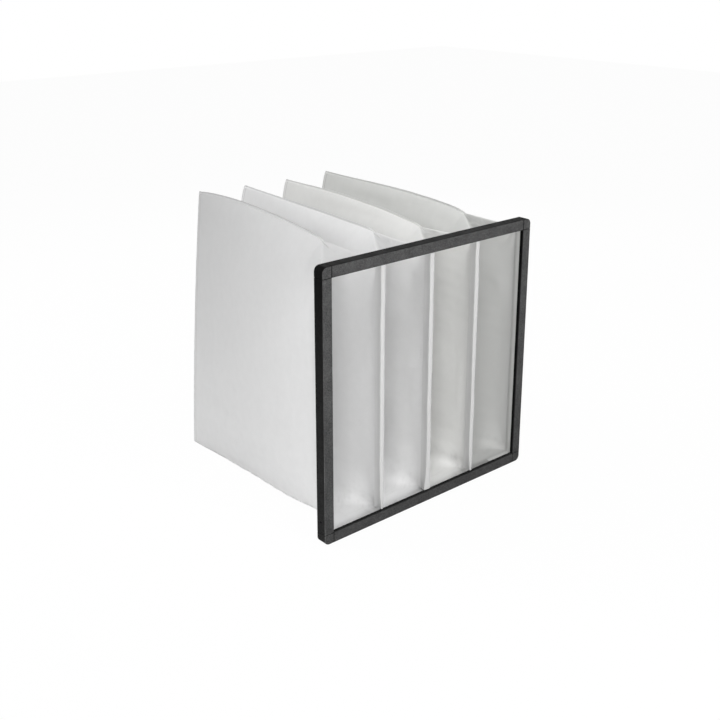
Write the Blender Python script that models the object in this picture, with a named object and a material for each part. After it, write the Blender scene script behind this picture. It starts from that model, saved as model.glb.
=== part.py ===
"""Bag air filter: four nonwoven pockets in a moulded header frame.

Metres, +Z up. X runs across the frame, Y runs with the air from the frame to the pockets' far
seams, and the origin is the middle of the bottom rail's underside. The frame is a channel
section on all four sides, joined by corner pieces, and the pockets' mouths are held in it by
clamp strips and by three covered bars between neighbouring pockets.
"""
import math

import bmesh
import bpy
from mathutils import Vector

# Header frame
FRAME_WIDTH = 0.592
FRAME_HEIGHT = 0.592
FRAME_DEPTH = 0.025
FACE_WIDTH = 0.024
WALL = 0.002
CORNER_GAP = 0.001
LIP_DEPTH = 0.008
EDGE_COVER = 0.0009
OUTER_EDGE_RADIUS = 0.0015
INNER_EDGE_RADIUS = 0.0018
CORNER_RADIUS = 0.012
EDGE_STEPS = 4
CORNER_STEPS = 8
ROUND_PROFILE = 0.5
SMOOTH_ANGLE = math.radians(35)

# Joints in the frame
CLEARANCE = 0.0003
KEY_LENGTH = 0.018
KEY_WIDTH = 0.0069
KEY_END_CHAMFER = 0.002
DRAIN_HOLE_RADIUS = 0.003
DRAIN_HOLE_HEIGHT = 0.050
DRAIN_HOLE_SETBACK = 0.014
HOLE_SIDES = 24

# Bars between the pockets, and their fabric sleeves
POCKET_COUNT = 4
BAR_WIDTH = 0.004
BAR_DEPTH = 0.014
BAR_TENON = 0.006
SLEEVE_FABRIC = 0.0012
SLEEVE_LENGTH_BACK = 0.010
SLEEVE_FRONT_GAP = 0.0018
SLEEVE_WAVE = 0.0008
SLEEVE_WAVES = 3.5
SLEEVE_SQUARENESS = 0.5
SLEEVE_ROWS = 15
SLEEVE_ARC_STEPS = 6

# Pockets
FABRIC = 0.0020
DEPTH_AT_TOP = 0.553
DEPTH_AT_BOTTOM = 0.582
BACK_BOW = 2.4
GUSSET_END = 0.165
TOP_RISES = (
    (0.0365, 0.0545, 0.0620, 0.0570),
    (0.0310, 0.0395, 0.0455, 0.0505),
    (0.0190, 0.0385, 0.0470, 0.0475),
    (0.0275, 0.0443, 0.0495, 0.0525),
)
BOTTOM_DROP = 0.0157
SIDE_BULGE = 0.35
SHOULDER_POWER = 3.5
SHOULDER_START = 8.0
SHOULDER_FADE = 0.10
SHOULDER_ROUNDNESS = 1.3
LEANS_AT_TOP = (0.0, -0.014, -0.027, -0.043)
LEANS_AT_BOTTOM = (-0.030, -0.038, -0.046, -0.055)
SEAM_HALF_THICKNESS = 0.0015
SEAM_WIDTH = 0.005
SEAM_START = 0.12
SEAM_RUN = 0.08
PANEL_HALF_GAP = 0.00015
APEX_FABRIC = 0.006
STATIONS = (0.0, 0.04, 0.085, 0.125, 0.165, 0.22, 0.31, 0.42, 0.54, 0.67, 0.80, 0.91, 1.0)
WALL_PLACES = (0.0, 0.30, 0.55, 0.72, 0.83, 0.91, 0.965, 1.0)

# Places worked out from the sizes above
FRONT = -FRAME_DEPTH / 2
REAR = FRAME_DEPTH / 2
MID_HEIGHT = FRAME_HEIGHT / 2
KEY_START = WALL + CLEARANCE
STRIP_START = KEY_START + KEY_WIDTH + CLEARANCE
FABRIC_EDGE = FACE_WIDTH - EDGE_COVER - FABRIC
STRIP_END = FABRIC_EDGE - CLEARANCE
MOUTH_FRONT = FRONT + LIP_DEPTH + CLEARANCE
MOUTH_REAR = REAR + 2 * CLEARANCE
OPENING_WIDTH = FRAME_WIDTH - 2 * FACE_WIDTH
POCKET_PITCH = OPENING_WIDTH / POCKET_COUNT
BAR_PLACES = [-OPENING_WIDTH / 2 + POCKET_PITCH * k for k in range(1, POCKET_COUNT)]
SIDES = {"bottom": 0, "left": 1, "top": 2, "right": 3}
TINY = 1e-6


def clear_scene():
    for obj in list(bpy.data.objects):
        bpy.data.objects.remove(obj, do_unlink=True)


def make_collection(name):
    collection = bpy.data.collections.new(name)
    bpy.context.scene.collection.children.link(collection)
    return collection


def make_material(name, color, roughness):
    material = bpy.data.materials.new(name)
    material.use_nodes = True
    shader = material.node_tree.nodes["Principled BSDF"]
    shader.inputs["Base Color"].default_value = (*color, 1.0)
    shader.inputs["Roughness"].default_value = roughness
    shader.inputs["Metallic"].default_value = 0.0
    return material


def object_from(name, mesh_data, collection, material=None):
    mesh = bpy.data.meshes.new(name)
    bmesh.ops.recalc_face_normals(mesh_data, faces=mesh_data.faces)
    mesh_data.to_mesh(mesh)
    mesh_data.free()
    obj = bpy.data.objects.new(name, mesh)
    if material:
        mesh.materials.append(material)
    collection.objects.link(obj)
    return obj


def shade_smooth(obj):
    obj.data.shade_smooth()
    obj.data.set_sharp_from_angle(angle=SMOOTH_ANGLE)


def arc(center, radius, start, end, steps):
    """Points on an arc, with angles in degrees."""
    points = []
    for i in range(steps + 1):
        angle = math.radians(start + (end - start) * i / steps)
        points.append((center[0] + radius * math.cos(angle), center[1] + radius * math.sin(angle)))
    return points


def prism(points, direction):
    """A closed outline of 3D points, pushed along a direction."""
    shape = bmesh.new()
    face = shape.faces.new([shape.verts.new(p) for p in points])
    pushed = bmesh.ops.extrude_face_region(shape, geom=[face])
    moved = [g for g in pushed["geom"] if isinstance(g, bmesh.types.BMVert)]
    bmesh.ops.translate(shape, verts=moved, vec=Vector(direction))
    return shape


def box(low, high):
    shape = bmesh.new()
    bmesh.ops.create_cube(shape, size=1.0)
    size = [h - l for l, h in zip(low, high)]
    middle = [(h + l) / 2 for l, h in zip(low, high)]
    bmesh.ops.scale(shape, vec=size, verts=shape.verts)
    bmesh.ops.translate(shape, vec=middle, verts=shape.verts)
    return shape


def boolean(obj, other, operation):
    modifier = obj.modifiers.new(operation.title() + " " + other.name, "BOOLEAN")
    modifier.operation = operation
    modifier.solver = "EXACT"
    modifier.object = other
    other.hide_render = True
    other.display_type = "WIRE"


def place_on_side(obj, side):
    """Turns a piece built for the bottom side to another side of the frame."""
    obj.location = (0.0, 0.0, MID_HEIGHT)
    obj.rotation_euler = (0.0, SIDES[side] * math.pi / 2, 0.0)


def side_sizes(side):
    """Length along a side, and the distance from the frame's middle to its outer face."""
    if side in ("bottom", "top"):
        return FRAME_WIDTH, FRAME_HEIGHT / 2
    return FRAME_HEIGHT, FRAME_WIDTH / 2


def channel_profile():
    """The rail's section, as distance in from the outer face and depth behind the front face."""
    profile = [(0.0, FRAME_DEPTH)]
    profile += arc((OUTER_EDGE_RADIUS, OUTER_EDGE_RADIUS), OUTER_EDGE_RADIUS, 180, 270, EDGE_STEPS)
    lip_middle = (FACE_WIDTH - INNER_EDGE_RADIUS, INNER_EDGE_RADIUS)
    profile += arc(lip_middle, INNER_EDGE_RADIUS, 270, 360, EDGE_STEPS)
    profile += [(FACE_WIDTH, LIP_DEPTH), (FACE_WIDTH - WALL, LIP_DEPTH), (FACE_WIDTH - WALL, WALL)]
    profile += [(WALL, WALL), (WALL, FRAME_DEPTH - WALL)]
    profile += [(STRIP_END, FRAME_DEPTH - WALL), (STRIP_END, FRAME_DEPTH)]
    return profile


def make_rail(name, side, parts, material):
    length, reach = side_sizes(side)
    half = length / 2 - FACE_WIDTH
    outline = [(-half, FRONT + depth, inward - reach) for inward, depth in channel_profile()]
    rail = object_from(name, prism(outline, (2 * half, 0.0, 0.0)), parts, material)
    place_on_side(rail, side)
    shade_smooth(rail)
    return rail


def cut_drain_hole(stile, side, cutters):
    """A round hole through the stile's outer wall, near its lower end."""
    shape = bmesh.new()
    bmesh.ops.create_cone(
        shape, cap_ends=True, segments=HOLE_SIDES,
        radius1=DRAIN_HOLE_RADIUS, radius2=DRAIN_HOLE_RADIUS, depth=2 * WALL,
    )
    cutter = object_from("drain_hole_" + side, shape, cutters)
    outward = -1 if side == "left" else 1
    cutter.rotation_euler = (0.0, math.pi / 2, 0.0)
    cutter.location = (outward * (FRAME_WIDTH - WALL) / 2, FRONT + DRAIN_HOLE_SETBACK, DRAIN_HOLE_HEIGHT)
    boolean(stile, cutter, "DIFFERENCE")


def corner_shell():
    """A corner's outer form, from its outermost point inward along +X and +Z."""
    seam = FACE_WIDTH - CORNER_GAP
    outline = [(seam, 0.0), (seam, seam), (0.0, seam)]
    outline += arc((CORNER_RADIUS, CORNER_RADIUS), CORNER_RADIUS, 180, 270, CORNER_STEPS)
    shape = prism([(p, FRONT, q) for p, q in outline], (0.0, FRAME_DEPTH, 0.0))
    outer = []
    for edge in shape.edges:
        on_front = all(abs(v.co.y - FRONT) < TINY for v in edge.verts)
        on_seam = any(all(abs(v.co[i] - seam) < TINY for v in edge.verts) for i in (0, 2))
        if on_front and not on_seam:
            outer.append(edge)
    bmesh.ops.bevel(
        shape, geom=outer, offset=OUTER_EDGE_RADIUS, segments=EDGE_STEPS, profile=ROUND_PROFILE,
        affect="EDGES",
    )
    return shape


def corner_hollow():
    """The room inside a corner piece, open towards both rails and the filter's middle."""
    inner = CORNER_RADIUS - WALL
    outline = [(FACE_WIDTH + WALL, WALL), (FACE_WIDTH + WALL, FACE_WIDTH + WALL)]
    outline += [(WALL, FACE_WIDTH + WALL)]
    outline += arc((CORNER_RADIUS, CORNER_RADIUS), inner, 180, 270, CORNER_STEPS)
    return prism([(p, FRONT + WALL, q) for p, q in outline], (0.0, FRAME_DEPTH - 2 * WALL, 0.0))


def key_outline():
    """An L of two keys that run from the corner into the channels of both rails."""
    tip = FACE_WIDTH + KEY_LENGTH
    far = KEY_START + KEY_WIDTH
    blunt = tip - KEY_END_CHAMFER
    near = KEY_START + KEY_END_CHAMFER
    step = FACE_WIDTH - CORNER_GAP - CLEARANCE
    root = CORNER_RADIUS - WALL / 2
    outline = arc((CORNER_RADIUS, CORNER_RADIUS), root, 180, 270, CORNER_STEPS)
    outline += [(step, WALL / 2), (step, KEY_START), (blunt, KEY_START), (tip, near)]
    outline += [(tip, far - KEY_END_CHAMFER), (blunt, far), (far, far), (far, blunt)]
    outline += [(far - KEY_END_CHAMFER, tip), (near, tip), (KEY_START, blunt)]
    outline += [(KEY_START, step), (WALL / 2, step)]
    return outline


def make_corner(name, turns, place, parts, cutters, material):
    corner = object_from(name, corner_shell(), parts, material)
    hollow = object_from(name + "_hollow", corner_hollow(), cutters)
    rear_step = box(
        (STRIP_END, REAR - 1.5 * WALL, STRIP_END), (2 * FACE_WIDTH, REAR + WALL, 2 * FACE_WIDTH),
    )
    rear_notch = object_from(name + "_rear_notch", rear_step, cutters)
    depth = FRAME_DEPTH - 2 * WALL - 2 * CLEARANCE
    keys_shape = prism(
        [(p, FRONT + WALL + CLEARANCE, q) for p, q in key_outline()], (0.0, depth, 0.0),
    )
    keys = object_from(name + "_keys", keys_shape, cutters)
    post_low = FACE_WIDTH - WALL
    post_high = FACE_WIDTH - CORNER_GAP - CLEARANCE
    post = object_from(
        name + "_post",
        box((post_low, FRONT + WALL / 2, post_low), (post_high, FRONT + LIP_DEPTH, post_high)),
        cutters,
    )
    for piece in (corner, hollow, rear_notch, keys, post):
        piece.location = place
        piece.rotation_euler = (0.0, turns * math.pi / 2, 0.0)
    boolean(corner, hollow, "DIFFERENCE")
    boolean(corner, rear_notch, "DIFFERENCE")
    boolean(corner, keys, "UNION")
    boolean(corner, post, "UNION")
    shade_smooth(corner)
    return corner


def make_clamp_strip(name, side, parts, cutters, material):
    """A solid strip that fills the channel's mouth and presses on the pockets' edges."""
    length, reach = side_sizes(side)
    across = side in ("left", "right")
    half = length / 2 - (STRIP_END + CLEARANCE if across else STRIP_START)
    low = (-half, FRONT + WALL + CLEARANCE, STRIP_START - reach)
    high = (half, REAR - WALL - CLEARANCE, STRIP_END - reach)
    strip = object_from(name, box(low, high), parts, material)
    place_on_side(strip, side)
    if across:
        return strip
    for number, place in enumerate(BAR_PLACES, 1):
        x = place if side == "bottom" else -place
        half_width = BAR_WIDTH / 2 + CLEARANCE
        mortise_low = (x - half_width, MOUTH_FRONT, STRIP_END - BAR_TENON - CLEARANCE - reach)
        mortise_back = MOUTH_FRONT + BAR_DEPTH + 2 * CLEARANCE
        mortise_high = (x + half_width, mortise_back, STRIP_END + WALL - reach)
        mortise = object_from(f"{name}_mortise_{number}", box(mortise_low, mortise_high), cutters)
        place_on_side(mortise, side)
        boolean(strip, mortise, "DIFFERENCE")
    return strip


def make_bar(number, x, parts, material):
    """The stiff bar between two pockets, with its ends let into the clamp strips."""
    low_end = STRIP_END - BAR_TENON
    front = MOUTH_FRONT + CLEARANCE
    low = (x - BAR_WIDTH / 2, front, low_end)
    high = (x + BAR_WIDTH / 2, front + BAR_DEPTH, FRAME_HEIGHT - low_end)
    return object_from(f"divider_bar_{number}", box(low, high), parts, material)


def sleeve_profile():
    """Half of the sleeve's section from its open rear edge to its front, outside and inside."""
    half_bar = BAR_WIDTH / 2 + CLEARANCE + FABRIC + CLEARANCE
    half_sleeve = half_bar + SLEEVE_FABRIC
    nose = MOUTH_FRONT - CLEARANCE
    rise = SLEEVE_FRONT_GAP
    back = MOUTH_FRONT + SLEEVE_LENGTH_BACK
    outside = [(half_sleeve, back)]
    inside = [(half_bar, back)]
    for i in range(SLEEVE_ARC_STEPS + 1):
        angle = math.pi / 2 * i / SLEEVE_ARC_STEPS
        spread = math.cos(angle) ** SLEEVE_SQUARENESS
        outside.append((half_sleeve * spread, nose - rise * math.sin(angle)))
        inside.append((half_bar * spread, nose - (rise - SLEEVE_FABRIC) * math.sin(angle)))
    return outside, inside


def make_sleeve(number, x, parts, material):
    """Fabric folded over the bar and the two pocket edges, slightly wavy along its length."""
    outside, inside = sleeve_profile()
    section = [(-p, y) for p, y in outside[:-1]] + [(p, y) for p, y in reversed(outside)]
    section += [(p, y) for p, y in inside[:-1]] + [(-p, y) for p, y in reversed(inside)]
    low = FACE_WIDTH + CLEARANCE
    height = FRAME_HEIGHT - 2 * low
    shape = bmesh.new()
    rows = []
    for row in range(SLEEVE_ROWS):
        share = row / (SLEEVE_ROWS - 1)
        wave = SLEEVE_WAVE * math.sin(2 * math.pi * SLEEVE_WAVES * share + number)
        ring = []
        for p, y in section:
            forward = max(0.0, MOUTH_FRONT - CLEARANCE - y) / SLEEVE_FRONT_GAP
            ring.append(shape.verts.new((x + p + wave * forward, y, low + height * share)))
        rows.append(ring)
    count = len(section)
    for lower, upper in zip(rows, rows[1:]):
        for i in range(count):
            j = (i + 1) % count
            shape.faces.new((lower[i], lower[j], upper[j], upper[i]))
    shape.faces.new(rows[0])
    shape.faces.new(list(reversed(rows[-1])))
    sleeve = object_from(f"divider_sleeve_{number}", shape, parts, material)
    shade_smooth(sleeve)
    return sleeve


def pocket_spans():
    """The outer left and right faces of each pocket's mouth."""
    gap = BAR_WIDTH / 2 + CLEARANCE
    outer = FRAME_WIDTH / 2 - FABRIC_EDGE
    lefts = [-outer] + [x + gap for x in BAR_PLACES]
    rights = [x - gap for x in BAR_PLACES] + [outer]
    return list(zip(lefts, rights))


def seam_rise(share, rises):
    """Height of the top seam over the mouth's upper edge.

    It climbs straight over the gusset to the first rise, then follows the one smooth curve
    through all the rises, which are evenly spaced from the gusset's end to the back.
    """
    if share < GUSSET_END:
        return rises[0] * share / GUSSET_END
    last = len(rises) - 1
    along = last * (share - GUSSET_END) / (1 - GUSSET_END)
    height = 0.0
    for i, rise in enumerate(rises):
        weight = math.prod((along - j) / (i - j) for j in range(last + 1) if j != i)
        height += weight * rise
    return height


def seam_drop(share):
    """Depth of the lower seam under the mouth's lower edge."""
    return BOTTOM_DROP * min(1.0, share / GUSSET_END)


def half_width_at(share, mouth_half):
    taper = mouth_half * (1 - share) * (1 + SIDE_BULGE * share)
    return taper + SEAM_HALF_THICKNESS * share


def half_section(share, mouth_half, rises, inset):
    """One side of the section from the lower seam up to the top one, as (x, z) pairs.

    The flat gusset panel narrows from the whole mouth to nothing at GUSSET_END. Inset 0 is the
    outer face and 1 the inner.
    """
    least = PANEL_HALF_GAP if inset else SEAM_HALF_THICKNESS
    open_share = max(0.0, 1 - share / GUSSET_END)
    fold = max(least, mouth_half * open_share - inset * FABRIC)
    width = max(fold, half_width_at(share, mouth_half) - inset * FABRIC)
    cover = APEX_FABRIC + (FABRIC - APEX_FABRIC) * open_share
    power = SHOULDER_POWER + SHOULDER_START * math.exp(-share / SHOULDER_FADE)
    walls = []
    for sign, rise in ((-1, seam_drop(share)), (1, seam_rise(share, rises))):
        height = MID_HEIGHT - FABRIC_EDGE + rise - inset * cover
        points = []
        for place in WALL_PLACES:
            spread = (1 - place ** power) ** (1 / SHOULDER_ROUNDNESS)
            points.append((fold + (width - fold) * spread, MID_HEIGHT + sign * height * place))
        points.append((least, MID_HEIGHT + sign * height))
        walls.append(points)
    return list(reversed(walls[0][1:])) + walls[1]


def panel_outline(share, mouth_half, rises):
    """The closed section of one fabric panel, with each point's place in height from 0 to 1."""
    outer = half_section(share, mouth_half, rises, 0)
    inner = half_section(share, mouth_half, rises, 1)
    fin = SEAM_WIDTH * min(1.0, max(0.0, (share - SEAM_START) / SEAM_RUN))
    low = outer[0][1] - fin
    high = outer[-1][1] + fin
    outer = [(SEAM_HALF_THICKNESS, low)] + outer + [(SEAM_HALF_THICKNESS, high)]
    inner = [(PANEL_HALF_GAP, low)] + inner + [(PANEL_HALF_GAP, high)]
    heights = [(z - low) / (high - low) for x, z in outer]
    return list(zip(outer, heights)) + list(reversed(list(zip(inner, heights))))


def panel_ring(share, span, number, side, beyond=0.0):
    """A panel's section as points in space: side is -1 for the left panel and 1 for the right."""
    middle = (span[0] + span[1]) / 2
    lean_top = LEANS_AT_TOP[(number - 1) % len(LEANS_AT_TOP)]
    lean_bottom = LEANS_AT_BOTTOM[(number - 1) % len(LEANS_AT_BOTTOM)]
    rises = TOP_RISES[(number - 1) % len(TOP_RISES)]
    ring = []
    for (x, z), height in panel_outline(share, (span[1] - span[0]) / 2, rises):
        lean = lean_bottom + (lean_top - lean_bottom) * height
        depth = DEPTH_AT_BOTTOM + (DEPTH_AT_TOP - DEPTH_AT_BOTTOM) * height ** BACK_BOW
        y = MOUTH_REAR + share * (FRONT + depth - MOUTH_REAR) + beyond
        ring.append(Vector((middle + lean * share + side * x, y, z)))
    return ring


def bridge(shape, ring_a, ring_b):
    """Joins two rings with triangles, split the same way on both panels of a pocket."""
    count = len(ring_a)
    for i in range(count):
        j = (i + 1) % count
        shape.faces.new((ring_a[i], ring_a[j], ring_b[j]))
        shape.faces.new((ring_a[i], ring_b[j], ring_b[i]))


def close_end(shape, ring):
    """Closes a panel's end with strips from its outer face to its inner face."""
    count = len(ring)
    for i in range(count // 2 - 1):
        shape.faces.new((ring[i], ring[i + 1], ring[count - 2 - i], ring[count - 1 - i]))


def make_panel(number, span, side_name, side, parts, material):
    """One of the two fabric panels that are welded at top, bottom and back into a pocket."""
    shape = bmesh.new()
    mouth = [Vector((p.x, MOUTH_FRONT, p.z)) for p in panel_ring(0.0, span, number, side)]
    rings = [mouth] + [panel_ring(share, span, number, side) for share in STATIONS]
    rings.append(panel_ring(1.0, span, number, side, beyond=SEAM_WIDTH + 2 * CLEARANCE))
    vertex_rings = [[shape.verts.new(p) for p in ring] for ring in rings]
    for ring_a, ring_b in zip(vertex_rings, vertex_rings[1:]):
        bridge(shape, ring_a, ring_b)
    close_end(shape, vertex_rings[0])
    close_end(shape, vertex_rings[-1])
    bmesh.ops.remove_doubles(shape, verts=shape.verts, dist=TINY)
    bmesh.ops.dissolve_degenerate(shape, edges=shape.edges, dist=TINY)
    panel = object_from(f"pocket_{number}_{side_name}", shape, parts, material)
    shade_smooth(panel)


def main():
    clear_scene()
    parts = make_collection("bag_air_filter")
    cutters = make_collection("cutters")
    frame_plastic = make_material("frame_plastic", (0.035, 0.036, 0.038), 0.55)
    corner_plastic = make_material("corner_plastic", (0.040, 0.041, 0.043), 0.50)
    strip_plastic = make_material("strip_plastic", (0.06, 0.06, 0.06), 0.60)
    bar_plastic = make_material("bar_plastic", (0.30, 0.30, 0.30), 0.60)
    sleeve_fabric = make_material("sleeve_fabric", (0.86, 0.86, 0.85), 0.90)
    pocket_fabric = make_material("pocket_fabric", (0.80, 0.81, 0.80), 0.95)

    make_rail("rail_bottom", "bottom", parts, frame_plastic)
    make_rail("rail_top", "top", parts, frame_plastic)
    for side in ("left", "right"):
        stile = make_rail("stile_" + side, side, parts, frame_plastic)
        cut_drain_hole(stile, side, cutters)

    edge = FRAME_WIDTH / 2
    corners = {
        "corner_bottom_left": (0, (-edge, 0.0, 0.0)),
        "corner_top_left": (1, (-edge, 0.0, FRAME_HEIGHT)),
        "corner_top_right": (2, (edge, 0.0, FRAME_HEIGHT)),
        "corner_bottom_right": (3, (edge, 0.0, 0.0)),
    }
    for name, (turns, place) in corners.items():
        make_corner(name, turns, place, parts, cutters, corner_plastic)

    for side in SIDES:
        make_clamp_strip("clamp_strip_" + side, side, parts, cutters, strip_plastic)
    for number, x in enumerate(BAR_PLACES, 1):
        make_bar(number, x, parts, bar_plastic)
        make_sleeve(number, x, parts, sleeve_fabric)
    for number, span in enumerate(pocket_spans(), 1):
        make_panel(number, span, "left", -1, parts, pocket_fabric)
        make_panel(number, span, "right", 1, parts, pocket_fabric)


main()
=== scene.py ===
"""Looks of the bag air filter: fabric pockets, sleeves, plastics, studio and camera."""
import math

import bpy
import numpy as np
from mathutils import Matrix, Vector


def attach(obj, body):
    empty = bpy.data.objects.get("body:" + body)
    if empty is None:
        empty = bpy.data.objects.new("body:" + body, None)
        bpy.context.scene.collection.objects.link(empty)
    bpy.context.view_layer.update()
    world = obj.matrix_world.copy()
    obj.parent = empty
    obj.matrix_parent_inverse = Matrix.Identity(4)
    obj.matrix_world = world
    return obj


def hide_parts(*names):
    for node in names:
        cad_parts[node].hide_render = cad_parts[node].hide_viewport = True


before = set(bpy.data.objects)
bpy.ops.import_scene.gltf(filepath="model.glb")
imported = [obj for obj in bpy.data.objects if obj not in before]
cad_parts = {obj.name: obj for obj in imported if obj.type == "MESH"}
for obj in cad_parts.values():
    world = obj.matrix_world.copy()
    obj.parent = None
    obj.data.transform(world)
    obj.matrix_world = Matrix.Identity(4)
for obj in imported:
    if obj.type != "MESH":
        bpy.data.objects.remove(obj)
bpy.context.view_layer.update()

# Sizes repeated from the construction, in metres
FRAME_SIZE = 0.592
FRAME_DEPTH = 0.025
FACE_WIDTH = 0.024
LIP_DEPTH = 0.008
CLEARANCE = 0.0003
FRONT = -FRAME_DEPTH / 2
REAR = FRAME_DEPTH / 2
MID_HEIGHT = FRAME_SIZE / 2
FABRIC = 0.0020
FABRIC_EDGE = 0.0211
BAR_HALF = 0.002
SLEEVE_FABRIC = 0.0012
MOUTH_FRONT = FRONT + LIP_DEPTH + CLEARANCE
MOUTH_REAR = REAR + 2 * CLEARANCE
MOUTH_HEIGHT = MID_HEIGHT - FABRIC_EDGE
MOUTH_FLOOR = MID_HEIGHT - MOUTH_HEIGHT
POCKETS = 4
DEPTH_AT_TOP = 0.553
DEPTH_AT_BOTTOM = 0.582
BACK_BOW = 2.4
GUSSET_END = 0.165
TOP_RISES = (
    (0.0365, 0.0545, 0.0620, 0.0570),
    (0.0310, 0.0395, 0.0455, 0.0505),
    (0.0190, 0.0385, 0.0470, 0.0475),
    (0.0275, 0.0443, 0.0495, 0.0525),
)
BOTTOM_DROP = 0.0157
SIDE_BULGE = 0.35
SHOULDER_POWER = 3.5
SHOULDER_START = 8.0
SHOULDER_FADE = 0.10
SHOULDER_ROUNDNESS = 1.3
LEANS_AT_TOP = (0.0, -0.014, -0.027, -0.043)
LEANS_AT_BOTTOM = (-0.030, -0.038, -0.046, -0.055)
SEAM_HALF_THICKNESS = 0.0015
SEAM_WIDTH = 0.005
SEAM_START = 0.12
SEAM_RUN = 0.08

# Fineness of the fabric
STATIONS = 150
STATION_CROWDING = 1.3
MOUTH_ROWS = 4
BACK_ROWS = 4
WALL_POINTS = 90
WALL_CROWDING = 1.3
WALL_UP = 1 - (1 - np.linspace(0, 1, WALL_POINTS)) ** WALL_CROWDING
PANEL_POINTS = 22
FIN_POINTS = 4
SLEEVE_ROWS = 220
SLEEVE_POINTS = 26
SLEEVE_LEG_POINTS = 5

# Soft form of the pockets: lengths in metres, runs as shares of the depth or of the height
FULL_TURN = 2 * math.pi
MOUTH_EASE = 0.03
PANEL_SAG = 0.004
FIN_THINNING = 0.5
BACK_REACHES = (0.0, 0.012, 0.011, 0.011)
BACK_REACH_POWER = 20
BACK_REACH_START = 0.6
BACK_REACH_RUN = 0.25
BACK_PEAKS = (-0.0015, 0.0010, 0.0015, 0.0005)
BACK_PEAK_FADE = 0.07
PUFF = 0.0035
PUFF_START = 0.004
PUFF_CLIMB = 0.040
PUFF_END = 0.030
PUFF_FADE = 0.080
FLOOR_DROP_END = 0.35
FLOOR_SQUARE = 40.0
FLOOR_SOFT = 2.6
FLOOR_SOFTENING = 0.022
BROAD_SAG = 0.0036
LONG_FOLDS = 0.0016
STILL_MOUTH = 0.08
STILL_BACK = 0.05
CORNER_CREASES = ((-1, 0.0004), (1, 0.0014))
CREASE_COUNT = 8
CREASE_REACH = 0.13
CREASE_START = 0.03
CREASE_DEPTH_SCALE = 0.55
PUCKER = 0.0008
BACK_PUCKER_COUNT = 11
BACK_PUCKER_REACH = 0.07
BACK_WELD = 0.012
SEAM_PUCKER_COUNT = 13
SEAM_PUCKER_REACH = 0.06
SEAM_PUCKER_START = 0.2
SEAM_PUCKER_RUN = 0.1
SEAM_WELD = 0.006
WAVER = 0.0012
WAVER_START = 0.15
WAVER_RUN = 0.1
LIFT_RUN = 0.04
LIFT_INNER = 0.004
LIFT_WIDTH = 0.01
CREASE_ROOM = 0.012

# Painted shade, painted light and a fine speckle on the fabric, one value for each pocket where there
# are four
# painted shade on each pocket's upper gusset
PAINTED_GUSSET_SHADES = (0.12, 0.36, 0.55, 0.60)
# painted highlight along each gusset's fold line, and its profile over the last wall points
PAINTED_FOLD_HIGHLIGHTS = (0.35, 0.25, 0.9, 0.9)
FOLD_HIGHLIGHT_PROFILE = (0.25, 0.7, 1.0, 0.35)
# painted light on the hem at the right of the last pocket's opening
PAINTED_HEM_LIGHTS = (0.0, 0.0, 0.0, 1.0)
# painted shade at the foot of each opening: a patch in the right corner and a band along the wall
FOOT_SHADE_PATCHES = (0.55, 0.50, 0.60, 0.0)
FOOT_SHADE_BANDS = (0.0, 0.08, 0.30, 0.20)
PATCH_WIDTH = 0.018
PATCH_HEIGHT = 0.024
PATCH_DEPTH = 0.045
FOOT_SPECKLE = 0.16
SPECKLE_HEIGHT = 0.04
SPECKLE_END = 0.05
BAND_HEIGHT = 0.022
BAND_THICKNESS = 0.010
BAND_START = 0.03
BAND_END = 0.10
FOOT_FADE = 0.15

# Form of the sleeves
SLEEVE_NOSE = 0.0026
SLEEVE_ROUNDNESS = 0.9
SLEEVE_FEET = (-0.60, 0.80, -0.50)
SLEEVE_FOOT_HEIGHT = 0.045
SLEEVE_FOOT_POWER = 1.5
SLEEVE_SWAY = 0.0009
SLEEVE_PINCH = 0.10
SLEEVE_NOSE_PINCH = 0.15
# the painted light on the sleeve's legs falls to this share next to the nose
SLEEVE_LEG_SHADE = 0.3

# Cloths: tone at the front, tone at the back, share of the foot's tone, tint. The pockets are one
# cloth;
# the tones that differ between them and from front to back, and the foot's share, are painted light
# and shade.
CLOTHS = (
    (0.86, 0.61, 0.85, (1.0, 1.0, 1.0)),
    (0.92, 0.93, 0.0, (1.0, 1.0, 1.0)),
    (0.93, 0.87, 0.0, (1.0, 1.0, 0.985)),
    (0.82, 0.80, 0.0, (0.995, 1.0, 0.98)),
)
SLEEVE_CLOTH = (0.64, 0.64, 0.0, (1.0, 1.0, 0.995))
# How much painted shade darkens the inner face, from mid height down and at the top of the opening
INSIDES = ((0.05, 0.05), (0.0, 0.27), (0.02, 0.29), (0.62, 0.66))
SLEEVE_INSIDE = (0.0, 0.0)
POCKET_THROUGH = 0.24
SLEEVE_THROUGH = 0.15
# painted light: the tone that the lower part of the cloth goes towards
FOOT_TONE = 0.93
# painted light: the colour of the fold lines' highlight, the hem and the sleeve legs
PAINTED_LIGHT_TONE = 0.90
DARK_SHARE = 0.38
GLOW_SHARE = 0.93
CLOUDINESS = 0.06
STREAKINESS = 0.025
CLOTH_ROUGHNESS = 0.95

# Plastics: tone of the front face, of the outer walls at the top, and of the walls at the foot. The
# face lighter than the walls, and the change of both by height, are painted light and shade.
HEADER_TONES = (0.064, 0.0055, 0.024)
CORNER_TONES = (0.062, 0.0055, 0.024)
STRIP_TONES = (0.030, 0.02, 0.02)
BAR_TONES = (0.20, 0.2, 0.2)
# painted shade: the face darkens to this share at the foot
FACE_FOOT_SHARE = 0.78
# painted highlight on the rounded outer edge
EDGE_HIGHLIGHT_TONE = 0.15
LINE_TONE = 0.006
PLASTIC_SPECULAR = 0.01
SEAM_LINE_OFFSET = 0.0005
SEAM_LINE_INNER = 0.0006
SEAM_LINE_OUTER = 0.0013

# Camera, fitted to the photograph's frame corners
PICTURE = 720.0
CAMERA_FOCAL_PX = 1060.0
CAMERA_YAW = 40.65
CAMERA_PITCH = 17.84
CAMERA_PLACE = (-1.1807 - FRAME_SIZE / 2, -1.484 + FRONT, 1.1634)
CAMERA_CENTRE_ROW = 288.0
SENSOR = 36.0

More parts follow.
